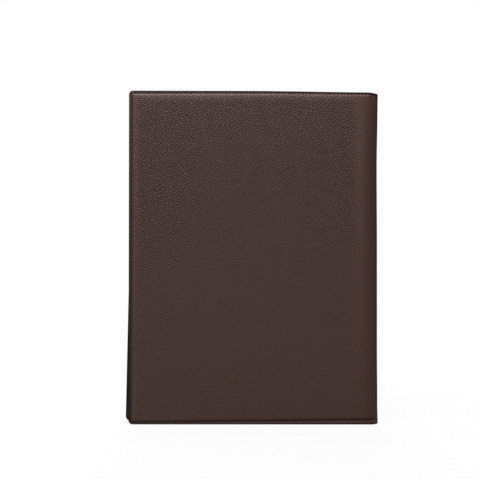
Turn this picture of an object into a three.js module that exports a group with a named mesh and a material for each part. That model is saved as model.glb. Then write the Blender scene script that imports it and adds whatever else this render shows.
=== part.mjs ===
// Leather document case: a folder for A4 papers, shown closed and standing on its foot.
//
// One outer leather wraps the front, the rounded spine and the back, and is open on the other
// three sides. Each cover is padded, and falls over a soft shoulder to a thinner stitched hem
// around its edge. One lining leather follows it inside. The papers go between the linings.
//
// Frame: millimetres, +Z up, the front faces -Y, the spine is at +X, and the origin lies on the
// surface that the case stands on, under the middle of its box.
//
// The case is worked out flat and then folded. A point on the flat leather has a length s along
// the girth, from the front's free edge round the spine to the back's free edge, and a height z.

import * as THREE from 'three';

// Overall size
const height = 333;
const width = 249.5; // in front view, from the front's free edge to the spine
const spineDepth = 20; // over both covers, at the spine
const openDepth = 23; // over both covers, at their free edges

// Leather
const fieldWall = 2.8; // outer leather on its padding
const hemWall = 1.7; // outer leather pressed flat in the hem
const liningWall = 1.0;
const liningGap = 0.3; // glue line between the two leathers
const liningInset = 0.3; // how far the lining stays inside the cut edge
const shoulderWidth = 5; // from the stitches up to the padded field
const edgeRound = 0.4; // rounding of a painted edge

// Hem width, from the cut edge to the stitches, at the ends of each straight run
const hemSide = 2.2;
const hemBack = 2.5;
const hemTop = { free: 2.6, spine: 1.8 };
const hemFoot = { free: 2.1, spine: 4.5 };

// Corners of the free edges
const frontCorner = 4;
const backCorner = 5;

// The back isn't folded quite square on the front: its free edge leans past the front's at the
// foot and stays behind it at the top.
const backReach = { foot: 4.7, top: -2.0 };

// The top edge dips towards the spine
const headDrop = 1.2;
const headReach = 130; // how far from the spine it begins to
const headDepth = 80; // how far down the leather it is felt
const spineDip = 1.3; // how much further it dips over the spine's curve

// Soft swelling of the covers, most at a share of the height
const frontSwell = 1.3;
const backSwell = 0.9;
const swellHeight = 0.3;

// The spine flares at its foot and head, and bows in between, by shares of the foot's flare.
const spineFlare = 1.8;
const spineSoftness = 55; // how far into the covers it is felt
const spineOutline = [
  { heightShare: 0.0, flareShare: 1.0 },
  { heightShare: 0.02, flareShare: 0.67 },
  { heightShare: 0.05, flareShare: -0.06 },
  { heightShare: 0.25, flareShare: -0.17 },
  { heightShare: 0.5, flareShare: -0.28 },
  { heightShare: 0.78, flareShare: -0.5 },
  { heightShare: 0.96, flareShare: -0.11 },
  { heightShare: 1.0, flareShare: 0.61 },
];

// Facets
const spineFacets = 12;
const panelFacets = 6;
const heightFacets = 7;

const smooth = (share) => {
  const t = Math.min(1, Math.max(0, share));
  return t * t * (3 - 2 * t);
};
const mix = (from, to, share) => from + (to - from) * share;

// The folded line, along the inner face of the outer leather
const outerRadius = spineDepth / 2;
const innerRadius = outerRadius - fieldWall;
const splay = Math.atan2((openDepth - spineDepth) / 2, width - outerRadius);
const arcCentre = width / 2 - outerRadius;
const panelLength = (arcCentre + innerRadius * Math.sin(splay) + width / 2) / Math.cos(splay);
const arcLength = innerRadius * (Math.PI - 2 * splay);
const spineStart = panelLength;
const spineEnd = panelLength + arcLength;
const girth = spineEnd + panelLength;

function foldedLine(s) {
  const turn = THREE.MathUtils.clamp((s - spineStart) / arcLength, 0, 1);
  const angle = (turn - 0.5) * (Math.PI - 2 * splay);
  const out = { x: Math.cos(angle), y: Math.sin(angle) };
  const past = s < spineStart ? spineStart - s : Math.max(0, s - spineEnd);
  const side = s < spineStart ? -1 : 1;
  return {
    x: arcCentre + innerRadius * out.x - past * Math.cos(splay),
    y: innerRadius * out.y + side * past * Math.sin(splay),
    out,
  };
}

// Share of the way from a free edge (0) to the spine (1)
const towardsSpine = (s) =>
  s < spineStart ? s / panelLength : Math.max(0, 1 - Math.max(0, s - spineEnd) / panelLength);

function hemAt(s, hem) {
  const free = s < spineStart ? hem.free : hemBack;
  return mix(free, hem.spine, towardsSpine(s));
}

// Each cover swells between its edges, most at swellHeight, and not at all at its corners.
function swell(s, z) {
  const across = Math.sin(Math.PI * Math.min(1, towardsSpine(s)));
  const peak = swellHeight / (1 - swellHeight);
  const v = THREE.MathUtils.clamp(z / height, 0, 1);
  const up = (v / swellHeight) ** peak * ((1 - v) / (1 - swellHeight));
  return (s < spineStart ? frontSwell : backSwell) * across * up;
}

function outlineOfSpine(heightShare) {
  const v = THREE.MathUtils.clamp(heightShare, 0, 1);
  const last = spineOutline.length - 1;
  const k = Math.max(1, spineOutline.findIndex((row, n) => row.heightShare >= v || n === last));
  const [low, high] = [spineOutline[k - 1], spineOutline[k]];
  const share = (v - low.heightShare) / (high.heightShare - low.heightShare);
  return spineFlare * mix(low.flareShare, high.flareShare, smooth(share));
}

// A point of the folded case: s and z on the flat leather, and how far it lies outside the
// inner face of the outer leather
function place(s, z, offset) {
  const line = foldedLine(s);
  const depth = offset + swell(s, z);
  const x = line.x + line.out.x * depth;
  const fromSpine = arcCentre + outerRadius - x;
  const bend = outlineOfSpine(z / height) * smooth(1 - fromSpine / spineSoftness);
  const dip = headDrop * smooth(1 - fromSpine / headReach) + spineDip * line.out.x;
  const nearTop = smooth(1 - (height - z) / headDepth);
  return new THREE.Vector3(x + bend, line.y + line.out.y * depth, z - dip * nearTop);
}

const reachAt = (z) => mix(backReach.foot, backReach.top, z / height);

// The cut outline of the flat leather at height z, taken in by an inset: first and last s
function outlineAt(z, inset) {
  const fromEnd = Math.min(z, height - z) - inset;
  const round = (corner) => {
    const radius = Math.max(0, corner - inset);
    const short = Math.max(0, radius - fromEnd);
    return radius - Math.sqrt(Math.max(0, radius ** 2 - short ** 2));
  };
  return [inset + round(frontCorner), girth + reachAt(z) - inset - round(backCorner)];
}

// A share of the girth as a length s, with the covers fitted to the cut outline at height z
function lengthAt(share, z, inset) {
  const s = share * girth;
  const [first, last] = outlineAt(z, inset);
  if (s < spineStart) return mix(first, spineStart, s / panelLength);
  if (s > spineEnd) return mix(spineEnd, last, (s - spineEnd) / panelLength);
  return s;
}

// Thickness of the outer leather: thin in the hem, full in the field, with a shoulder between
function outerWall(s, z) {
  const rise = smooth((z - hemAt(s, hemFoot)) / shoulderWidth)
    * smooth((height - z - hemAt(s, hemTop)) / shoulderWidth)
    * smooth((s - hemSide) / shoulderWidth)
    * smooth((girth + reachAt(z) - s - hemBack) / shoulderWidth);
  return mix(hemWall, fieldWall, rise);
}

// Lines across the leather: close together near each end, even between
function linesAlong(length, nearEnd, between) {
  const lines = nearEnd.map((d) => d / length);
  const edge = lines[lines.length - 1];
  for (let k = 1; k < between; k += 1) lines.push(mix(edge, 1 - edge, k / between));
  nearEnd.slice().reverse().forEach((d) => lines.push(1 - d / length));
  return lines;
}

// Lines along the girth also step round the spine
function linesRound(nearEnd) {
  const lines = nearEnd.map((d) => d / girth);
  const edge = lines[lines.length - 1];
  const [start, end] = [spineStart / girth, spineEnd / girth];
  for (let k = 1; k < panelFacets; k += 1) lines.push(mix(edge, start, k / panelFacets));
  for (let k = 0; k <= spineFacets; k += 1) lines.push(mix(start, end, k / spineFacets));
  for (let k = 1; k < panelFacets; k += 1) lines.push(mix(end, 1 - edge, k / panelFacets));
  nearEnd.slice().reverse().forEach((d) => lines.push(1 - d / girth));
  return lines;
}

// A closed leather: an outer and an inner face over one grid of lines, joined round the cut edge
// by a flat band whose two corners are rounded off by a facet
function leather(columns, rows, inset, outside, inside) {
  const positions = [];
  const vertex = (column, row, more, offset) => {
    const z = mix(inset + more, height - inset - more, rows[row]);
    const s = lengthAt(columns[column], z, inset + more);
    const point = place(s, z, offset(s, z));
    positions.push(point.x, point.y, point.z);
    return positions.length / 3 - 1;
  };
  const round = Math.min(edgeRound, (outside(0, 0) - inside(0, 0)) / 4);
  const line = (row, offset) => columns.map((_, column) => vertex(column, row, round, offset));
  const grid = (offset) => rows.map((_, row) => line(row, offset));
  const outer = grid(outside);
  const inner = grid(inside);

  const edge = [];
  const [right, top] = [columns.length - 1, rows.length - 1];
  for (let column = 0; column < right; column += 1) edge.push([column, 0]);
  for (let row = 0; row < top; row += 1) edge.push([right, row]);
  for (let column = right; column > 0; column -= 1) edge.push([column, top]);
  for (let row = top; row > 0; row -= 1) edge.push([0, row]);
  const ring = (offset) => edge.map(([column, row]) => vertex(column, row, 0, offset));
  const bandOut = ring((s, z) => outside(s, z) - round);
  const bandIn = ring((s, z) => inside(s, z) + round);

  const triangles = [];
  const quad = (a, b, c, d) => triangles.push(a, b, c, a, c, d);
  for (let row = 0; row < top; row += 1) {
    for (let column = 0; column < right; column += 1) {
      const corners = (face) => [
        face[row][column], face[row][column + 1], face[row + 1][column + 1], face[row + 1][column],
      ];
      quad(...corners(outer));
      quad(...corners(inner).reverse());
    }
  }
  const outerEdge = edge.map(([column, row]) => outer[row][column]);
  const innerEdge = edge.map(([column, row]) => inner[row][column]);
  edge.forEach((_, k) => {
    const next = (k + 1) % edge.length;
    quad(outerEdge[k], bandOut[k], bandOut[next], outerEdge[next]);
    quad(bandOut[k], bandIn[k], bandIn[next], bandOut[next]);
    quad(bandIn[k], innerEdge[k], innerEdge[next], bandIn[next]);
  });

  const geometry = new THREE.BufferGeometry();
  geometry.setAttribute('position', new THREE.Float32BufferAttribute(positions, 3));
  geometry.setIndex(triangles);
  geometry.computeVertexNormals();
  return geometry;
}

function mesh(name, geometry, colour, roughness) {
  const material = new THREE.MeshStandardMaterial({ color: colour, roughness, metalness: 0 });
  const made = new THREE.Mesh(geometry, material);
  made.name = name;
  return made;
}

// Outer leather: front, spine and back in one piece
const hemZone = Math.max(hemFoot.free, hemFoot.spine, hemTop.free, hemTop.spine) + shoulderWidth;
const hemShares = [0, 0.03, 0.11, 0.21, 0.32, 0.43, 0.55, 0.67, 0.82, 1];
const hemLines = hemShares.map((share) => share * hemZone);
const cover = mesh(
  'cover_leather',
  leather(
    linesRound(hemLines),
    linesAlong(height, hemLines, heightFacets),
    0,
    outerWall,
    () => 0,
  ),
  0x40302c,
  0.55,
);

// Lining leather, inside the outer one all over
const liningShares = [0, 0.03, 0.11, 0.21, 0.43, 1];
const liningLines = liningShares.map((share) => share * hemZone);
const lining = mesh(
  'lining_leather',
  leather(
    linesRound(liningLines),
    linesAlong(height, liningLines, heightFacets),
    liningInset,
    () => -liningGap,
    () => -liningGap - liningWall,
  ),
  0x2a211e,
  0.7,
);

const documentCase = new THREE.Group();
documentCase.add(cover, lining);

// The origin goes under the middle of the box, on the surface that the case stands on.
const box = new THREE.Box3().setFromObject(documentCase, true);
const middle = box.getCenter(new THREE.Vector3());
documentCase.position.set(-middle.x, -middle.y, -box.min.z);
documentCase.updateMatrixWorld(true);

export default documentCase;
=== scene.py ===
# %% [markdown]
# # A leather document case
#
# A slim folder for A4 papers, closed and standing on its foot. One padded leather wraps the front,
# the rounded spine and the back, and a thinner leather lines it. Both are cut together, painted
# along the cut edge and sewn round with one row of thread.
#
# The CAD frame gives the real size and place. This lesson makes the leather, the edge paint and
# the stitches as fine meshes over it, and then the finish of each.

# %% Tools and frame
import math

import bpy
import mathutils
import numpy as np
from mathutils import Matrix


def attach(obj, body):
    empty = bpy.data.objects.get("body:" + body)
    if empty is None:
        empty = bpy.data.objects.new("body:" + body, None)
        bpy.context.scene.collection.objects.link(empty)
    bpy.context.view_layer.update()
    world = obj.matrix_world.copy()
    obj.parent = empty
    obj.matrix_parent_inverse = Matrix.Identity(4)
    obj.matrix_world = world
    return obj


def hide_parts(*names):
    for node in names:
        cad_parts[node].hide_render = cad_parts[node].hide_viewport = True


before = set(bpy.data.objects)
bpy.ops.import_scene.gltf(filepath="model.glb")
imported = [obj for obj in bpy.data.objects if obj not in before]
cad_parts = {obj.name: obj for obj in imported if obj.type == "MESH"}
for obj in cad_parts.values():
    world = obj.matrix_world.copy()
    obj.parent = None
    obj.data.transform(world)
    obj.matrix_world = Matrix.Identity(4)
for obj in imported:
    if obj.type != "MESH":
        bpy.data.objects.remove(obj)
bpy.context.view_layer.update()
MM = 0.001

# %% [markdown]
# ## Camera
#
# The photograph is taken square to the front cover, from the distance at which the spine's ends
# recede by a hundredth. The camera could be tilted and shifted, but an upright object seen level
# keeps its sides parallel, and they are parallel here. So it looks straight along +Y from mid
# height, and only its distance and lens set the size in the picture.

# %% Camera
camera_distance = 900 * MM
camera_height = 184.12 * MM
camera_side = -11.6 * MM
camera_roll = math.radians(-0.1)
picture_pixels = 480
focal_pixels = 892.3
sensor_width = 36.0

camera = bpy.data.objects.new("camera", bpy.data.cameras.new("camera"))
camera.data.sensor_width = sensor_width
camera.data.lens = focal_pixels * sensor_width / picture_pixels
camera.location = (camera_side, -camera_distance, camera_height)
camera.rotation_euler = (math.radians(90), camera_roll, 0)
bpy.context.scene.collection.objects.link(camera)
bpy.context.scene.camera = camera
print(f"lens {camera.data.lens:.1f} mm")

# %% [markdown]
# ## Helpers for colours and nodes
#
# A hex colour is written for the screen, and shaders work in linear light, so one function turns
# one into the other. Another adds a node with its settings and its links, so that each material
# below reads as a short list of what is on the surface. A third starts an empty material.


# %% Helpers for colours and nodes
def linear(hex_colour):
    """A screen colour such as "#3a2620" as linear red, green, blue and alpha."""
    parts = [int(hex_colour[k:k + 2], 16) / 255 for k in (1, 3, 5)]
    return [p / 12.92 if p <= 0.04045 else ((p + 0.055) / 1.055) ** 2.4 for p in parts] + [1.0]


def add(tree, kind, settings=None, *by_place, **by_name):
    """Adds a node. An input is a value, an output, or a node, which gives its first output."""
    node = tree.nodes.new(kind)
    for name, value in (settings or {}).items():
        setattr(node, name, value)
    inputs = list(zip(node.inputs, by_place))
    for name, value in by_name.items():
        wanted = name.replace("_", " ")
        inputs.append((next(s for s in node.inputs if s.enabled and s.name == wanted), value))
    for socket, value in inputs:
        if isinstance(value, bpy.types.Node):
            value = next(s for s in value.outputs if s.enabled)
        if isinstance(value, bpy.types.NodeSocket):
            tree.links.new(value, socket)
        else:
            socket.default_value = value
    return node


def empty_material(name):
    """A material and its node tree, with nothing in it yet."""
    material = bpy.data.materials.new(name)
    material.use_nodes = True
    material.node_tree.nodes.clear()
    return material, material.node_tree


times = {"operation": "MULTIPLY"}
times_plus = {"operation": "MULTIPLY_ADD"}
minus = {"operation": "SUBTRACT"}
power = {"operation": "POWER"}
soft_step = {"interpolation_type": "SMOOTHSTEP"}
in_plane = {"noise_dimensions": "2D"}

# %% [markdown]
# ## White floor
#
# The studio is white: a pale floor that runs out into a white background with no line between
# them. A backdrop could be built as a curved sweep, but then other views would see where it ends.
# Here the floor is a wide plane that takes a soft shadow near the case and glows white further
# out. It glows in full to the camera alone, and dimly to the case, so that the leather keeps its
# own light and shade.

# %% The floor
floor_width = 6.0
shadow_reach = 0.16
white_reach = 0.42
near_glow = 0.88
floor_bounce = 0.13


def white_floor():
    """Matte paper, which shows the shadow near the case and plain white further out."""
    material, tree = empty_material("white studio paper, matte")
    place = add(tree, "ShaderNodeTexCoord").outputs["Object"]
    far = add(tree, "ShaderNodeVectorMath", {"operation": "LENGTH"}, place)
    fade = add(
        tree, "ShaderNodeMapRange", soft_step,
        Value=far, From_Min=shadow_reach, From_Max=white_reach, To_Min=near_glow,
    )
    matte = add(tree, "ShaderNodeBsdfDiffuse", Color=linear("#f2f3f5"))
    seen = add(tree, "ShaderNodeLightPath").outputs["Is Camera Ray"]
    strength = add(tree, "ShaderNodeMapRange", Value=seen, To_Min=floor_bounce, To_Max=1.0)
    glow = add(tree, "ShaderNodeEmission", Strength=strength)
    joined = add(tree, "ShaderNodeMixShader", {}, fade, matte, glow)
    add(tree, "ShaderNodeOutputMaterial", Surface=joined)
    return material


half = floor_width / 2
floor_mesh = bpy.data.meshes.new("floor")
floor_corners = [(-half, -half, 0), (half, -half, 0), (half, half, 0), (-half, half, 0)]
floor_mesh.from_pydata(floor_corners, [], [(0, 1, 2, 3)])
floor_mesh.materials.append(white_floor())
floor = bpy.data.objects.new("floor", floor_mesh)
bpy.context.scene.collection.objects.link(floor)
print("floor", floor_width, "m wide")

# %% [markdown]
# ## Light
#
# The world is white to the camera and lights the case only dimly, so the lamps shape it. Seven
# soft boxes stand round it, as in a studio. The overhead and the near one light the shoulder at
# the top and bring out the grain below it. The front panel gives the thin grey haze that lies
# over dark leather in a white room, and the low one adds a little at the foot. The left and spine
# panels light the two sides, and the rear one lights the back.

# %% Light
ambient = 0.05


def make_world():
    """White behind everything, and a dim even light on the case."""
    world = bpy.data.worlds.new("white studio")
    world.use_nodes = True
    tree = world.node_tree
    tree.nodes.clear()
    seen = add(tree, "ShaderNodeLightPath").outputs["Is Camera Ray"]
    strength = add(tree, "ShaderNodeMapRange", Value=seen, To_Min=ambient, To_Max=1.0)
    sky = add(tree, "ShaderNodeBackground", Color=linear("#ffffff"), Strength=strength)
    add(tree, "ShaderNodeOutputWorld", Surface=sky)
    bpy.context.scene.world = world


def soft_box(name, watts, size, place, towards):
    """A rectangular lamp at a place, turned to face a point. In metres."""
    lamp = bpy.data.lights.new(name, "AREA")
    lamp.shape = "RECTANGLE"
    lamp.size, lamp.size_y = size
    lamp.energy = watts
    box = bpy.data.objects.new(name, lamp)
    box.location = place
    gaze = [t - p for p, t in zip(place, towards)]
    box.rotation_euler = mathutils.Vector(gaze).to_track_quat("-Z", "Y").to_euler()
    bpy.context.scene.collection.objects.link(box)
    print(name, watts, "W")


make_world()
low_front = (0, -0.02, 0.1)
soft_box("overhead soft box", 6.3, size=(1.0, 0.5), place=(-0.15, -0.12, 0.95), towards=low_front)
soft_box("near soft box", 1.1, size=(0.7, 0.2), place=(-0.1, -0.28, 0.7), towards=(0, -0.02, 0.2))
soft_box("front panel", 5.4, size=(0.8, 1.1), place=(-0.3, -1.4, 0.6), towards=(0, 0, 0.16))
soft_box("low panel", 0.18, size=(0.5, 0.1), place=(-0.05, -0.75, 0.1), towards=(0, 0, 0.12))
soft_box("spine panel", 2.6, size=(0.6, 0.8), place=(1.25, -0.42, 0.4), towards=(0.1, 0, 0.16))
soft_box("left panel", 0.9, size=(0.3, 0.8), place=(-1.0, -0.35, 0.5), towards=(-0.1, 0, 0.16))
soft_box("rear soft box", 13.0, size=(0.8, 0.5), place=(0, 1.1, 1.2), towards=(0, 0, 0.15))
bpy.context.scene.view_settings.view_transform = "Standard"

# %% [markdown]
# ## The folded leather
#
# The real case is cut flat, sewn flat and folded once. The mesh could be modelled folded, with the
# spine as a bevel, but stitches, hems and grain all run on over the spine without a break. So each
# point is placed on the flat leather first, by a length s along the girth and a height z, and one
# function folds it. Everything sewn or glued to the leather goes through the same function.
#
# The padding stops at the stitches, so the hem lies lower than the field. Round the spine the hem
# is stretched until it is flush with the padding, and the fold lifts it there.

# %% Sizes of the leather, in millimetres
height = 333.0
width = 249.5
spine_depth = 20.0
open_depth = 23.0
field_wall = 2.8
hem_wall = 1.7
lining_wall = 1.0
lining_gap = 0.3
hem = {"foot_free": 1.7, "foot_spine": 4.5, "top_free": 2.5, "top_spine": 1.5, "back": 2.5}
pad_lift = 0.35  # how much higher the padding stands under its finished leather
pad_step = field_wall + pad_lift - hem_wall
pad_start = 0.5
pad_ease = 0.5
shoulder_width = 3.4
front_corner = 4.0
back_corner = 5.0

# %% The case's soft shape, in millimetres
back_reach_foot = 5.0
back_reach_top = -2.0
head_drop = 1.2
head_reach = 130.0
head_depth = 80.0
spine_dip = 1.1
front_swell = 1.3
back_swell = 0.9
swell_height = 0.3
spine_flare = 1.8
spine_softness = 55.0
spine_outline = {
    "height_share": [0.0, 0.05, 0.25, 0.5, 0.78, 0.95, 1.0],
    "flare_share": [0.1, -0.14, -0.36, -0.45, -0.68, -0.3, -0.2],
}

outer_radius = spine_depth / 2
inner_radius = outer_radius - field_wall
splay = math.atan2((open_depth - spine_depth) / 2, width - outer_radius)
arc_centre = width / 2 - outer_radius
panel_length = (arc_centre + inner_radius * math.sin(splay) + width / 2) / math.cos(splay)
arc_length = inner_radius * (math.pi - 2 * splay)
spine_start = panel_length
spine_end = panel_length + arc_length
girth = spine_end + panel_length
print(f"the flat leather is {girth:.0f} by {height:.0f} mm")


# %% Shapes that the fold uses
def smooth(share):
    """A soft step from 0 to 1."""
    t = np.clip(share, 0, 1)
    return t * t * (3 - 2 * t)


def mix(start, end, share):
    """The value at a share of the way from start to end."""
    return start + (end - start) * share


def towards_spine(s):
    """0 at a free edge, 1 at the spine."""
    return np.clip(np.where(s < spine_start, s, girth - s) / panel_length, 0, 1)


def swell(s, z):
    """How far the covers stand out softly between their edges."""
    across = np.sin(np.pi * towards_spine(s))
    v = np.clip(z / height, 0, 1)
    up = (v / swell_height) ** (swell_height / (1 - swell_height)) * (1 - v) / (1 - swell_height)
    return np.where(s < spine_start, front_swell, back_swell) * across * up


def padded_share(q):
    """0 in the hem and 1 in the field, from q, the millimetres inside the stitches."""
    t = np.clip((q - pad_start) / shoulder_width, 0, 1)
    return (1 - (1 - t) ** 3) * smooth(q - pad_start + pad_ease)


def spine_hem(z):
    """How far the hem is lifted at the spine, where it is flush with the padding."""
    q = np.minimum(z - hem["foot_spine"], height - z - hem["top_spine"])
    return pad_step * (1 - padded_share(q))


def spine_bend(z):
    """How far the spine's outline stands out or in at each height."""
    v = np.clip(z / height, 0, 1)
    rows = np.array(spine_outline["height_share"])
    flares = np.array(spine_outline["flare_share"]) * spine_flare
    k = np.clip(np.searchsorted(rows, v), 1, len(rows) - 1)
    share = (v - rows[k - 1]) / (rows[k] - rows[k - 1])
    return mix(flares[k - 1], flares[k], smooth(share))


# %% Folding
def fold(s, z, offset):
    """Places flat points, offset outward from the outer leather's inner face. In millimetres."""
    reach = mix(back_reach_foot, back_reach_top, z / height)
    s = s + reach * np.clip((s - spine_end) / panel_length, 0, 1)
    turn = np.clip((s - spine_start) / arc_length, 0, 1)
    angle = (turn - 0.5) * (math.pi - 2 * splay)
    out_x, out_y = np.cos(angle), np.sin(angle)
    past = np.where(s < spine_start, spine_start - s, np.maximum(0, s - spine_end))
    side = np.where(s < spine_start, -1, 1)
    depth = offset + swell(s, z) + spine_hem(z) * out_x
    x = arc_centre + inner_radius * out_x - past * math.cos(splay) + out_x * depth
    y = inner_radius * out_y + side * past * math.sin(splay) + out_y * depth
    from_spine = arc_centre + outer_radius - x
    bend = spine_bend(z) * smooth(1 - from_spine / spine_softness)
    dip = head_drop * smooth(1 - from_spine / head_reach) + spine_dip * out_x
    z = z - dip * smooth(1 - (height - z) / head_depth)
    return np.stack([x + bend, y, z], axis=-1)


# %% [markdown]
# ## Rings round the edge
#
# The eye goes to the edge: painted rim, hem, thread and the shoulder where the padding starts. It
# needs points every 0.7 mm, and the plain field doesn't. A grid that fine all over would have a
# million faces. So the leather is drawn as rings that follow the cut outline, close together at
# the stitches, and an even grid fills the middle. A strip of triangles joins the two.

# %% The cut outline as rings
ring_step = 0.7
least_radius = 0.6  # of a ring's corner, and a little more for each millimetre further in
radius_gain = 0.15
corners = {  # in order round the flat leather, from the front's foot
    "radius": [front_corner, back_corner, back_corner, front_corner],
    "s": [0.0, girth, girth, 0.0],
    "z": [0.0, 0.0, height, height],
}
sides = {
    "along": [(1, 0), (0, 1), (-1, 0), (0, -1)],
    "inward": [(0, 1), (-1, 0), (0, -1), (1, 0)],
    "length": [girth, height, girth, height],
}


def outline_stations(step):
    """Stations round the cut edge: the side each lies on, and its share of that side."""
    side, share = [], []
    for k, length in enumerate(sides["length"]):
        count = round(length / step)
        side += [k] * count
        share += [n / count for n in range(count)]
    return np.array(side), np.array(share)


def ring(side, share, inset):
    """Flat points (s, z) on the outline taken in by an inset, with its corners kept round."""
    inset = np.broadcast_to(np.asarray(inset, float), share.shape)
    along = np.array(sides["along"], float)[side]
    inward = np.array(sides["inward"], float)[side]
    length = np.array(sides["length"])[side]
    start = np.stack([np.array(corners["s"])[side], np.array(corners["z"])[side]], axis=-1)
    radii = np.array(corners["radius"])
    soft = least_radius + radius_gain * inset
    r_start = np.maximum(radii[side] - inset, soft)
    r_end = np.maximum(radii[(side + 1) % 4] - inset, soft)
    straight = length - 2 * inset - r_start - r_end
    arc_start, arc_end = r_start * np.pi / 4, r_end * np.pi / 4
    run = share * (straight + arc_start + arc_end)
    a = inset + np.clip(run - arc_start, 0, straight) + r_start
    b = inset.copy()
    first = np.clip(1 - run / arc_start, 0, 1) * np.pi / 4
    last = np.clip((run - arc_start - straight) / arc_end, 0, 1) * np.pi / 4
    a = a - r_start * np.sin(first) + r_end * np.sin(last)
    b = b + r_start * (1 - np.cos(first)) + r_end * (1 - np.cos(last))
    return start + along * a[:, None] + inward * b[:, None]


side, share = outline_stations(ring_step)
print(len(side), "stations round the cut edge")

# %% [markdown]
# ## The stitch line
#
# The thread runs in one closed line, a few millimetres inside the cut edge, and this one widens
# its hem towards the spine at the foot. The line comes before the leather, because the leather is
# pulled down at each hole and puffs up between them, so it needs to know where each stitch is.

# %% The stitch line
stitch_pitch = 3.5


def hem_width(side, share):
    """From the cut edge to the stitches, at each station."""
    s = np.where(side == 0, share * girth, (1 - share) * girth)
    spine = towards_spine(s)
    foot = mix(np.where(s < spine_start, hem["foot_free"], hem["back"]), hem["foot_spine"], spine)
    top = mix(np.where(s < spine_start, hem["top_free"], hem["back"]), hem["top_spine"], spine)
    front = mix(hem["top_free"], hem["foot_free"], share)
    return np.select([side == 0, side == 1, side == 2], [foot, hem["back"], top], front)


def stitch_line(side, share, offset):
    """Folded points along the stitch line, and the way the leather faces there."""
    s, z = ring(side, share, hem_width(side, share)).T
    points = fold(s, z, offset)
    facing = fold(s, z, offset + 1.0) - points
    return points, facing / np.linalg.norm(facing, axis=1)[:, None]


points, _ = stitch_line(side, share, hem_wall)
steps = np.linalg.norm(np.roll(points, -1, axis=0) - points, axis=1)
run = np.concatenate([[0], np.cumsum(steps)])
stitch_count = round(run[-1] / stitch_pitch)
phase = 2 * np.pi * run[:-1] / run[-1] * stitch_count
print(f"{stitch_count} stitches over {run[-1]:.0f} mm of thread line")

# %% [markdown]
# ## Leather from rings and a grid
#
# Each leather is a closed skin with an outer face, an inner face and a cut edge between them. A
# Solidify modifier could give it its wall, but the wall changes from hem to field, so both faces
# are placed by their own heights.

# %% The middle grid
grid_margin = 15.5
panel_step = 2.8
spine_step = 1.2
spine_zone = 30.0
deep_inside = 99.0  # a distance from the stitches that is well into the padded field


def even(start, end, step):
    """Evenly spaced values from start to end, about a step apart."""
    return np.linspace(start, end, max(2, round((end - start) / step) + 1))


def grid_lines(coarse):
    """Columns and rows of the middle grid, closer round the spine, all spaced coarse times wider."""
    low, high = spine_start - spine_zone / 2, spine_end + spine_zone / 2
    columns = np.concatenate([
        even(grid_margin, low, coarse * panel_step)[:-1],
        even(low, high, coarse * spine_step)[:-1],
        even(high, girth - grid_margin, coarse * panel_step),
    ])
    rows = even(grid_margin, height - grid_margin, coarse * panel_step)
    return columns, rows


def zip_rings(outer, outer_place, inner, inner_place):
    """Triangles between two closed rings of vertices, matched by their places round the edge."""
    whole_way = 4.0  # the places count 1 for each side
    triangles = []
    i = j = 0
    n, m = len(outer), len(inner)
    while i < n or j < m:
        next_outer = outer_place[i + 1] if i + 1 < n else (whole_way if i < n else math.inf)
        next_inner = inner_place[j + 1] if j + 1 < m else (whole_way if j < m else math.inf)
        if next_outer <= next_inner:
            triangles.append((outer[i % n], outer[(i + 1) % n], inner[j % m]))
            i += 1
        else:
            triangles.append((outer[i % n], inner[(j + 1) % m], inner[j % m]))
            j += 1
    return triangles


# %% One face of a leather
def skin(insets, offset_at, coarse=1):
    """One face of a leather as flat points, offsets, distances inside the stitches and faces."""
    hems = hem_width(side, share)
    flat, inside, waves, faces = [], [], [], []
    n = len(side)
    for inset in insets:
        flat.append(ring(side, share, inset))
        inside.append(np.broadcast_to(inset, n) - hems)
        waves.append(phase)
    for k in range(len(insets) - 1):
        a, b = k * n, (k + 1) * n
        faces += [(a + i, a + (i + 1) % n, b + (i + 1) % n, b + i) for i in range(n)]

    columns, rows = grid_lines(coarse)
    right, top = len(columns) - 1, len(rows) - 1
    base = len(insets) * n
    grid = base + np.arange(len(columns) * len(rows)).reshape(len(columns), len(rows))
    flat.append(np.stack(np.meshgrid(columns, rows, indexing="ij"), axis=-1).reshape(-1, 2))
    inside.append(np.full(grid.size, deep_inside))
    waves.append(np.zeros(grid.size))
    for c in range(right):
        for r in range(top):
            faces.append((grid[c, r], grid[c + 1, r], grid[c + 1, r + 1], grid[c, r + 1]))

    rim = [grid[c, 0] for c in range(right)] + [grid[right, r] for r in range(top)]
    rim += [grid[c, top] for c in range(right, 0, -1)] + [grid[0, r] for r in range(top, 0, -1)]
    across = (columns - columns[0]) / (columns[-1] - columns[0])
    up = (rows - rows[0]) / (rows[-1] - rows[0])
    rim_place = np.concatenate([across[:-1], 1 + up[:-1], 3 - across[:0:-1], 4 - up[:0:-1]])
    last = list(range(base - n, base))
    faces += zip_rings(last, side + share, rim, rim_place)

    flat, inside = np.concatenate(flat), np.concatenate(inside)
    return flat, offset_at(inside, np.concatenate(waves)), inside, faces


# %% [markdown]
# ## From points to a piece
#
# The flat length and height of each point are kept as a UV map in metres. Grain laid out on the
# flat hide then runs over the spine without stretching, as it does on the real case. The leather
# also keeps three attributes for its finish and its painted shade: how taut it is drawn at the
# stitches, how near the spine it lies, and how near the seam. They could be painted by hand, but
# here each is a distance that the mesh already knows.

# %% Making a piece
taut_reach = 10.0
spine_blend = 22.0
seam_blend = {"hem": 0.5, "field": 1.1}


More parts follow.
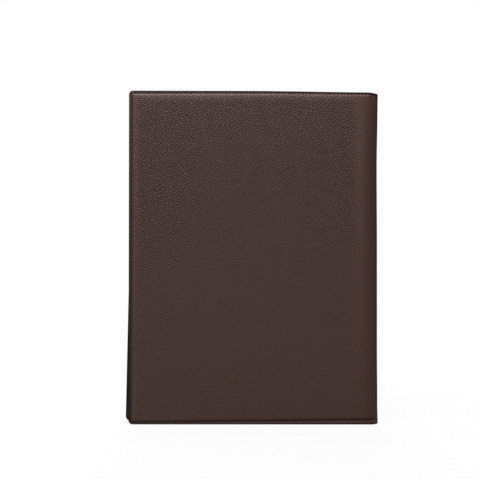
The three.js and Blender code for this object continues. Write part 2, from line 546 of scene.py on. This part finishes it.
def make_piece(name, points_mm, faces, material, uv=None, **attributes):
    """A smooth mesh in the frame, in metres, with its flat UV map and its point attributes."""
    mesh = bpy.data.meshes.new(name)
    mesh.from_pydata((points_mm * MM + shift).tolist(), [], faces)
    mesh.shade_smooth()
    if uv is not None:
        corner_points = np.empty(len(mesh.loops), dtype=np.int32)
        mesh.loops.foreach_get("vertex_index", corner_points)
        layer = mesh.uv_layers.new(name="flat")
        layer.data.foreach_set("uv", (uv[corner_points] * MM).ravel())
    for key, values in attributes.items():
        layer = mesh.attributes.new(key, "FLOAT", "POINT")
        layer.data.foreach_set("value", np.asarray(values, dtype=np.float32))
    mesh.materials.append(material)
    piece = bpy.data.objects.new(name, mesh)
    bpy.context.scene.collection.objects.link(piece)
    return piece


def make_leather(name, outer, inner, material):
    """A closed leather from its outer and inner skins."""
    n = len(side)
    count = len(outer[0])
    faces = list(outer[3])
    faces += [tuple(count + v for v in reversed(face)) for face in inner[3]]
    faces += [(i, count + i, count + (i + 1) % n, (i + 1) % n) for i in range(n)]
    flat = np.concatenate([outer[0], inner[0]])
    offset = np.concatenate([outer[1], inner[1]])
    inside = np.concatenate([outer[2], inner[2]])
    s, z = flat.T
    from_spine = (1 - towards_spine(s)) * panel_length
    blend = np.where(inside < 0, seam_blend["hem"], seam_blend["field"])
    return make_piece(
        name, fold(s, z, offset), faces, material, uv=flat,
        taut=smooth(1 - inside / taut_reach), spine=smooth(1 - from_spine / spine_blend),
        seam=np.exp(-(inside / blend) ** 2),
    )


# The frame's origin is under the middle of the CAD box, so the folded leather is moved there.
s_outline, z_outline = ring(side, share, 0.0).T
outline = np.concatenate([fold(s_outline, z_outline, 0.0), fold(s_outline, z_outline, hem_wall)])
middle = (outline.min(axis=0) + outline.max(axis=0)) / 2
shift = np.array([-middle[0], -middle[1], 0.0]) * MM
print("the folded outline is", (outline.max(axis=0) - outline.min(axis=0)).round(1), "mm")

# %% [markdown]
# ## Pebbled leather
#
# The outside is cowhide, tumbled until it shrinks into pebbles about 3 mm apart, then dyed and
# given a thin satin finish. A photograph of leather could be used, but it would repeat and carry
# its own light. A Voronoi pattern gives the pebbles instead. Its distance to the edge, raised like
# a dome, makes each one round with a sharp crease.
#
# The pattern is a jittered square grid. Turned by 45 degrees and stretched, it sets each row half
# a pebble on from the next, as on a hide, and a noise that shifts it first makes the rows wavy.

# %% The pebbles, in millimetres
pebble_width = 2.03
pebble_stretch = (0.584, 1.0, 0)  # wider than tall
pebble_turn = math.radians(45)
pebble_disorder = 0.8
pebble_dome = 0.5  # the share of a pebble's width over which it rises
wrinkle_width = 1.4
wrinkle_dome = 0.4
wrinkle_share = 0.28
pore_width = 0.5  # real pores are finer, and these are as coarse as they need to be to show
pore_share = 0.03
wave_length = 14.0
wave_shift = 4.0


def dome(tree, distance, reach):
    """Turns the distance from a crease into a round height from 0 to 1."""
    short = add(tree, "ShaderNodeMapRange", Value=distance, From_Max=reach, To_Min=1.0, To_Max=0.0)
    square = add(tree, "ShaderNodeMath", power, short, 2.0)
    return add(tree, "ShaderNodeMath", minus, 1.0, square)


def pebble_rows(tree, flat):
    """Flat places bent into waves, stretched and turned."""
    wave = add(
        tree, "ShaderNodeTexNoise", in_plane,
        Vector=flat, Scale=1 / (wave_length * MM), Detail=1.0,
    ).outputs["Color"]
    shift_by = (wave_shift * MM, wave_shift * MM, 0)
    bent = add(tree, "ShaderNodeVectorMath", times_plus, wave, shift_by, flat)
    laid = add(tree, "ShaderNodeVectorMath", times, bent, pebble_stretch)
    return add(
        tree, "ShaderNodeVectorRotate", {"rotation_type": "Z_AXIS"}, Vector=laid, Angle=pebble_turn,
    )


def pebble_heights(tree, flat):
    """The pebbles alone, and the pebbles with their wrinkles and pores."""
    place = pebble_rows(tree, flat)
    creases = {"voronoi_dimensions": "2D", "feature": "DISTANCE_TO_EDGE"}
    large = add(
        tree, "ShaderNodeTexVoronoi", creases,
        Vector=place, Scale=1 / (pebble_width * MM), Randomness=pebble_disorder,
    )
    small = add(
        tree, "ShaderNodeTexVoronoi", creases,
        Vector=place, Scale=1 / (wrinkle_width * MM), Randomness=1.0,
    )
    pores = add(
        tree, "ShaderNodeTexNoise", in_plane, Vector=flat, Scale=1 / (pore_width * MM), Detail=2.0,
    )
    pebble = dome(tree, large, pebble_dome)
    wrinkle = dome(tree, small, wrinkle_dome)
    relief = add(tree, "ShaderNodeMath", times_plus, wrinkle, wrinkle_share, pebble)
    return pebble, add(tree, "ShaderNodeMath", times_plus, pores, pore_share, relief)


# %% [markdown]
# The creases between pebbles are painted darker: painted shade. Where the hide is drawn taut over
# the hem and its shoulder, or stretched round the spine, the pebbles are pulled flat and their
# painted shade goes too. Towards the foot the pebbles are lower and their painted shade is fainter.
# The spine carries painted shade, darker and warmer and strongest towards the top, and the groove
# along the thread carries painted shade too.

# %% Pebbled leather
pebble_height = 0.53
flattened = {"taut": 0.7, "spine": 0.8}
foot_fade = {"from": 30.0, "to": 280.0, "relief": 0.48}
# The next three set painted shade: in the creases, on the spine and along the thread.
crease_shade_reach = 0.6
spine_shade_fall = 8.0
seam_shade_share = 0.75
roughness = {"taut": 0.4, "field": 0.67}


def pebbled_leather():
    """A satin skin: each pebble has a soft light on its upper side and a dark crease round it, with
    painted shade in the creases, on the spine and along the thread.
    """
    material, tree = empty_material("tumbled cowhide, dyed dark brown")
    flat = add(tree, "ShaderNodeUVMap", {"uv_map": "flat"})
    taut = add(tree, "ShaderNodeAttribute", {"attribute_name": "taut"}).outputs["Fac"]
    on_spine = add(tree, "ShaderNodeAttribute", {"attribute_name": "spine"}).outputs["Fac"]
    seam = add(tree, "ShaderNodeAttribute", {"attribute_name": "seam"}).outputs["Fac"]
    pebble, relief = pebble_heights(tree, flat)

    slack = add(tree, "ShaderNodeMath", times_plus, taut, -flattened["taut"], 1.0)
    unstretched = add(tree, "ShaderNodeMath", times_plus, on_spine, -flattened["spine"], 1.0)
    up = add(tree, "ShaderNodeSeparateXYZ", Vector=flat).outputs["Y"]
    # Lower pebbles and fainter painted shade towards the foot.
    fade_to_foot = add(
        tree, "ShaderNodeMapRange", soft_step, Value=up, To_Min=foot_fade["relief"],
        From_Min=foot_fade["from"] * MM, From_Max=foot_fade["to"] * MM,
    )
    loose = add(tree, "ShaderNodeMath", times, unstretched, slack)
    worked = add(tree, "ShaderNodeMath", times, loose, fade_to_foot)
    relief = add(tree, "ShaderNodeMath", times, relief, worked)
    bump = add(tree, "ShaderNodeBump", Height=relief, Distance=pebble_height * MM, Strength=1.0)

    # Painted shade: the creases are darkened in the colour.
    hollow = add(tree, "ShaderNodeMath", minus, 1.0, pebble)
    crease = add(tree, "ShaderNodeMath", times, worked, hollow)
    tone = add(tree, "ShaderNodeValToRGB", Fac=add(tree, "ShaderNodeMath", minus, 1.0, crease))
    tone.color_ramp.elements[0].color = linear("#261511")
    tone.color_ramp.elements[1].position = crease_shade_reach
    tone.color_ramp.elements[1].color = linear("#51362f")
    # Painted shade: the spine is darker and warmer in the colour, most towards the top.
    spine_shade = add(tree, "ShaderNodeMath", power, on_spine, spine_shade_fall)
    spine_shade = add(tree, "ShaderNodeMath", times, spine_shade, fade_to_foot)
    # Painted shade: the groove along the thread is darker in the colour.
    seam_shade = add(tree, "ShaderNodeMath", times, seam, seam_shade_share)
    colours = {"data_type": "RGBA"}
    spine_shaded = add(tree, "ShaderNodeMix", colours, Factor=spine_shade, A=tone, B=linear("#412210"))
    seam_shaded = add(tree, "ShaderNodeMix", colours, Factor=seam_shade, A=spine_shaded, B=linear("#38180c"))
    rough = add(
        tree, "ShaderNodeMapRange", Value=slack, From_Min=1 - flattened["taut"],
        To_Min=roughness["taut"], To_Max=roughness["field"],
    )
    leather = add(
        tree, "ShaderNodeBsdfPrincipled", Base_Color=seam_shaded, Roughness=rough, IOR=1.5, Normal=bump,
    )
    add(tree, "ShaderNodeOutputMaterial", Surface=leather)
    return material


# %% [markdown]
# ## The outer leather
#
# The field lies on soft padding, so its wall reads as about 3.1 mm, and it falls to 1.7 mm where
# it is sewn. It falls as a pillow's edge does: steeply at the thread, then easing into the flat.
# The thread presses a groove, deepest at its holes, and the leather puffs up beside each stitch. A
# bump map could suggest this, but the row of puckers shows against the light along the top.

# %% The outer leather
cut_inset = 0.35  # the paint covers the rest
groove_depth = 0.4
groove_width = 0.45
hole_share = 0.45  # how much the groove's depth changes from a stitch to its holes
puff = 0.2
puff_place = 0.9
puff_width = {"field": 0.8, "hem": 0.6}
hem_puff = 0.5  # as a share of the field's


def hump(q, place, reach):
    """1 at a place, q millimetres inside the stitches, and falling softly on both sides."""
    return np.exp(-((q - place) / reach) ** 2)


def outer_height(q, wave):
    """Height of the outer face over the inner one, q millimetres inside the stitches."""
    top = hem_wall + pad_step * padded_share(q)
    groove = groove_depth * hump(q, 0, groove_width) * (1 - hole_share * np.cos(wave))
    beside = hump(q, puff_place, puff_width["field"])
    beside = beside + hem_puff * hump(q, -puff_place, puff_width["hem"])
    return top - groove + puff * np.cos(wave) * beside


hems = hem_width(side, share)
flat_hem = hems - 0.7
hem_rings = [mix(cut_inset, flat_hem, t) for t in (0.0, 0.5, 1.0)]
groove_rings = [hems + q for q in (-0.45, -0.2, 0.05, 0.3)]
shoulder_rings = [hems + q for q in (0.6, 0.95, 1.35, 1.8, 2.4, 3.1, 4.0, 5.2, 7.0, 9.5)]
cover = make_leather(
    "outer_leather",
    skin(hem_rings + groove_rings + shoulder_rings, outer_height),
    skin([cut_inset], lambda q, wave: np.zeros_like(q), coarse=3),
    pebbled_leather(),
)
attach(cover, "root")
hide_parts("cover_leather")
print("outer leather:", len(cover.data.polygons), "faces")

# %% [markdown]
# ## The lining
#
# The inside is a thin split leather with a short nap, glued and sewn to the outer one. It shows
# only at the open edges, but there it carries the other side of every stitch. It could be the
# outer leather's own inner face, but the two have their own finish. It is built as the outer
# leather is, from the same stations, so that the two cut edges lie on each other.

# %% Lining leather
nap_width = 0.8  # real nap is finer, and this is as coarse as it needs to be to show
nap_height = 0.08
cloud_width = 30.0


def split_leather():
    """A napped surface: dull, with faint clouds where the nap lies different ways."""
    material, tree = empty_material("split leather, napped dark brown")
    flat = add(tree, "ShaderNodeUVMap", {"uv_map": "flat"})
    nap = add(
        tree, "ShaderNodeTexNoise", in_plane, Vector=flat, Scale=1 / (nap_width * MM), Detail=3.0,
    )
    cloud = add(
        tree, "ShaderNodeTexNoise", in_plane, Vector=flat, Scale=1 / (cloud_width * MM), Detail=3.0,
    )
    tone = add(tree, "ShaderNodeValToRGB", Fac=cloud)
    tone.color_ramp.elements[0].position = 0.3
    tone.color_ramp.elements[0].color = linear("#31231e")
    tone.color_ramp.elements[1].position = 0.7
    tone.color_ramp.elements[1].color = linear("#3b2b25")
    bump = add(tree, "ShaderNodeBump", Height=nap, Distance=nap_height * MM)
    leather = add(tree, "ShaderNodeBsdfPrincipled", Base_Color=tone, Roughness=0.85, Normal=bump)
    add(tree, "ShaderNodeOutputMaterial", Surface=leather)
    return material


# %% The lining
lining_drawn = 0.3
lining_puff = 0.1


def lining_height(q, wave):
    """Height of the lining's inner face, drawn in towards the thread at the stitches."""
    drawn = lining_drawn * hump(q, 0, groove_width)
    puffed = lining_puff * np.cos(wave) * hump(np.abs(q), puff_place, puff_width["hem"])
    return -lining_gap - lining_wall + drawn - puffed


flat_lining = hems - 0.5
lining_rings = [mix(cut_inset, flat_lining, t) for t in (0.0, 0.5, 1.0)]
lining_rings += [hems + q for q in (-0.2, 0.1, 0.4, 0.8, 1.4, 2.4, 5.0, 9.5)]
lining = make_leather(
    "lining",
    skin([cut_inset], lambda q, wave: np.full_like(q, -lining_gap), coarse=3),
    skin(lining_rings, lining_height, coarse=2),
    split_leather(),
)
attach(lining, "root")
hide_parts("lining_leather")
print("lining:", len(lining.data.polygons), "faces")

# %% [markdown]
# ## Painted edge
#
# The two cut edges are sanded flush and painted over as one, in several coats, until the paint
# stands as a smooth rounded bead that laps a little on to both faces. A bevel on the leather would
# round it, but the bead belongs to both leathers, so it is one closed tube swept round the outline.

# %% Edge paint
brush_width = 6.0
brush_height = 0.12


def edge_paint():
    """A smooth near-black coat with a narrow shine along the bead."""
    material, tree = empty_material("acrylic edge paint, brushed black brown")
    place = add(tree, "ShaderNodeTexCoord").outputs["Object"]
    brush = add(tree, "ShaderNodeTexNoise", Vector=place, Scale=1 / (brush_width * MM), Detail=2.0)
    bump = add(tree, "ShaderNodeBump", Height=brush, Distance=brush_height * MM)
    paint = add(
        tree, "ShaderNodeBsdfPrincipled", Base_Color=linear("#0a0909"), Roughness=0.32,
        Specular_IOR_Level=0.3, Normal=bump,
    )
    add(tree, "ShaderNodeOutputMaterial", Surface=paint)
    return material


# %% The painted edge
bead_section = {  # inset from the outline, and across from the outer face, 0, to the lining's, 1
    "inset": [1.1, 1.0, 0.85, 0.3, 0.08, 0.0, 0.0, 0.08, 0.3, 0.85, 1.0, 1.1],
    "across": [0.06, -0.02, -0.05, -0.05, 0.0, 0.15, 0.85, 1.0, 1.04, 1.04, 1.02, 0.94],
}


def make_edge():
    """A closed tube round the outline, on every second station, which is fine enough for it."""
    bead_side, bead_share = side[::2], share[::2]
    n = len(bead_side)
    rows = []
    for inset, across in zip(bead_section["inset"], bead_section["across"]):
        s, z = ring(bead_side, bead_share, inset).T
        rows.append(fold(s, z, mix(hem_wall, -lining_gap - lining_wall, across)))
    count = len(rows)
    faces = []
    for k in range(count):
        a, b = k * n, (k + 1) % count * n
        faces += [(a + i, b + i, b + (i + 1) % n, a + (i + 1) % n) for i in range(n)]
    return make_piece("edge_paint", np.concatenate(rows), faces, edge_paint())


edge = make_edge()
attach(edge, "root")
print("painted edge:", len(edge.data.polygons), "faces")

# %% [markdown]
# ## Stitches
#
# A lockstitch shows as a row of short threads on each side, each diving into a hole at both ends.
# They could be a dashed texture, but they catch the light and cast small shadows. There are about
# a thousand, all alike, so Geometry Nodes makes one and sets it along the stitch line. The line is
# a ring of edges that stores which way the leather faces, so that each stitch lies flat on it.

# %% Thread
fibre_width = 0.3  # real fibres are finer, and these are as coarse as they need to be to show


def sewing_thread():
    """A bonded thread: smooth and dull, with fibres a little lighter and darker."""
    material, tree = empty_material("bonded polyester thread, red brown")
    place = add(tree, "ShaderNodeTexCoord").outputs["Object"]
    fibre = add(tree, "ShaderNodeTexNoise", Vector=place, Scale=1 / (fibre_width * MM), Detail=1.0)
    tone = add(tree, "ShaderNodeValToRGB", Fac=fibre)
    tone.color_ramp.elements[0].color = linear("#28140c")
    tone.color_ramp.elements[1].color = linear("#43251a")
    thread = add(
        tree, "ShaderNodeBsdfPrincipled", Base_Color=tone, Roughness=0.6, Sheen_Weight=0.1,
    )
    add(tree, "ShaderNodeOutputMaterial", Surface=thread)
    return material


# %% One stitch
thread_sides = 6
stitch_points = 7
end_thinning = 0.5
least_slant = 0.4  # the straightest stitch's slant, as a share of the most slanted one's


def one_stitch(tree, given):
    """A short thread along X, bent down into its holes and thinner there."""
    half = add(tree, "ShaderNodeMath", times, given["Stitch length"], 0.5)
    start = add(tree, "ShaderNodeCombineXYZ", X=add(tree, "ShaderNodeMath", times, half, -1.0))
    end = add(tree, "ShaderNodeCombineXYZ", X=half)
    line = add(tree, "GeometryNodeCurvePrimitiveLine", Start=start, End=end)
    line = add(tree, "GeometryNodeResampleCurve", Curve=line, Count=stitch_points)
    along = add(tree, "GeometryNodeSplineParameter").outputs["Factor"]
    t = add(tree, "ShaderNodeMath", times_plus, along, 2.0, -1.0)
    square = add(tree, "ShaderNodeMath", times, t, t)
    down = add(tree, "ShaderNodeMath", times, square, given["Dip"])
    bend = add(tree, "ShaderNodeCombineXYZ", Z=add(tree, "ShaderNodeMath", times, down, -1.0))
    line = add(tree, "GeometryNodeSetPosition", Geometry=line, Offset=bend)
    steep = add(tree, "ShaderNodeMath", times, square, square)
    taper = add(tree, "ShaderNodeMath", times_plus, steep, -end_thinning, 1.0)
    profile = add(
        tree, "GeometryNodeCurvePrimitiveCircle",
        Resolution=thread_sides, Radius=given["Thread radius"],
    ).outputs["Curve"]
    return add(
        tree, "GeometryNodeCurveToMesh", Curve=line, Profile_Curve=profile, Scale=taper,
        Fill_Caps=True,
    )


def stitch_turn(tree, given):
    """Turns a stitch along the line, flat on the leather, and then a little aslant."""
    tangent = add(tree, "GeometryNodeInputTangent")
    facing = add(
        tree, "GeometryNodeInputNamedAttribute", {"data_type": "FLOAT_VECTOR"}, Name="facing",
    )
    turn = add(tree, "FunctionNodeAlignRotationToVector", {"axis": "X"}, Vector=tangent)
    turn = add(
        tree, "FunctionNodeAlignRotationToVector", {"axis": "Z", "pivot_axis": "X"},
        Rotation=turn, Vector=facing,
    )
    least = add(tree, "ShaderNodeMath", times, given["Slant"], least_slant)
    angle = add(tree, "FunctionNodeRandomValue", Min=least, Max=given["Slant"], Seed=given["Seed"])
    lean = add(tree, "FunctionNodeAxisAngleToRotation", Angle=angle)
    return add(
        tree, "FunctionNodeRotateRotation", {"rotation_space": "LOCAL"},
        Rotation=turn, Rotate_By=lean,
    )


# %% The stitch tree
stitch_inputs = {
    "Stitch line": "Geometry",
    "Stitches": "Int",
    "Stitch length": "Float",
    "Thread radius": "Float",
    "Dip": "Float",
    "Slant": "Float",
    "Seed": "Int",
    "Thread": "Material",
}


def stitch_tree():
    """A node tree that lays stitches along a ring of edges, and its inputs' identifiers."""
    tree = bpy.data.node_groups.new("stitches", "GeometryNodeTree")
    tree.interface.new_socket(name="Geometry", in_out="OUTPUT", socket_type="NodeSocketGeometry")
    keys = {}
    for name, kind in stitch_inputs.items():
        socket = tree.interface.new_socket(name=name, in_out="INPUT", socket_type="NodeSocket" + kind)
        keys[name] = socket.identifier
    given = tree.nodes.new("NodeGroupInput").outputs
    path = add(tree, "GeometryNodeMeshToCurve", Mesh=given["Stitch line"])
    path = add(tree, "GeometryNodeResampleCurve", Curve=path, Count=given["Stitches"])
    laid = add(
        tree, "GeometryNodeInstanceOnPoints", Points=path,
        Instance=one_stitch(tree, given), Rotation=stitch_turn(tree, given),
    )
    laid = add(tree, "GeometryNodeRealizeInstances", Geometry=laid)
    laid = add(tree, "GeometryNodeSetMaterial", Geometry=laid, Material=given["Thread"])
    add(tree, "NodeGroupOutput", {}, laid)
    return tree, keys


tree, keys = stitch_tree()
print("the stitch tree has", len(tree.nodes), "nodes")

# %% [markdown]
# The same tree sews both faces. The modifier's result is taken as a plain mesh, because the export
# needs real faces, and the modifier is then removed. The inner row faces the other way.

# %% The stitches
thread_radius = 0.32
thread_rise = 0.6 * thread_radius  # how far its middle stands over the bottom of the groove
stitch_length = 2.6
stitch_dip = 0.42
stitch_slant = math.radians(5)
thread = sewing_thread()


def sew(name, offset, facing_way, seed):
    """Stitches on one face of the case, as a plain mesh."""
    points, facing = stitch_line(side, share, offset)
    n = len(points)
    mesh = bpy.data.meshes.new(name)
    mesh.from_pydata((points * MM + shift).tolist(), [(i, (i + 1) % n) for i in range(n)], [])
    layer = mesh.attributes.new("facing", "FLOAT_VECTOR", "POINT")
    layer.data.foreach_set("vector", (facing * facing_way).astype(np.float32).ravel())
    piece = bpy.data.objects.new(name, mesh)
    bpy.context.scene.collection.objects.link(piece)
    sewing = piece.modifiers.new("stitches", "NODES")
    sewing.node_group = tree
    values = {
        "Stitches": stitch_count,
        "Stitch length": stitch_length * MM,
        "Thread radius": thread_radius * MM,
        "Dip": stitch_dip * MM,
        "Slant": stitch_slant,
        "Seed": seed,
        "Thread": thread,
    }
    for key, value in values.items():
        sewing[keys[key]] = value
    evaluated = piece.evaluated_get(bpy.context.evaluated_depsgraph_get())
    sewn = bpy.data.meshes.new_from_object(evaluated)
    piece.modifiers.remove(sewing)
    piece.data = sewn
    sewn.name = name
    sewn.shade_smooth()
    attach(piece, "root")
    print(name, "has", len(sewn.polygons), "faces")


sew("stitches_outside", hem_wall - groove_depth + thread_rise, 1, seed=3)
sew("stitches_inside", -lining_gap - lining_wall + lining_drawn - thread_rise, -1, seed=4)
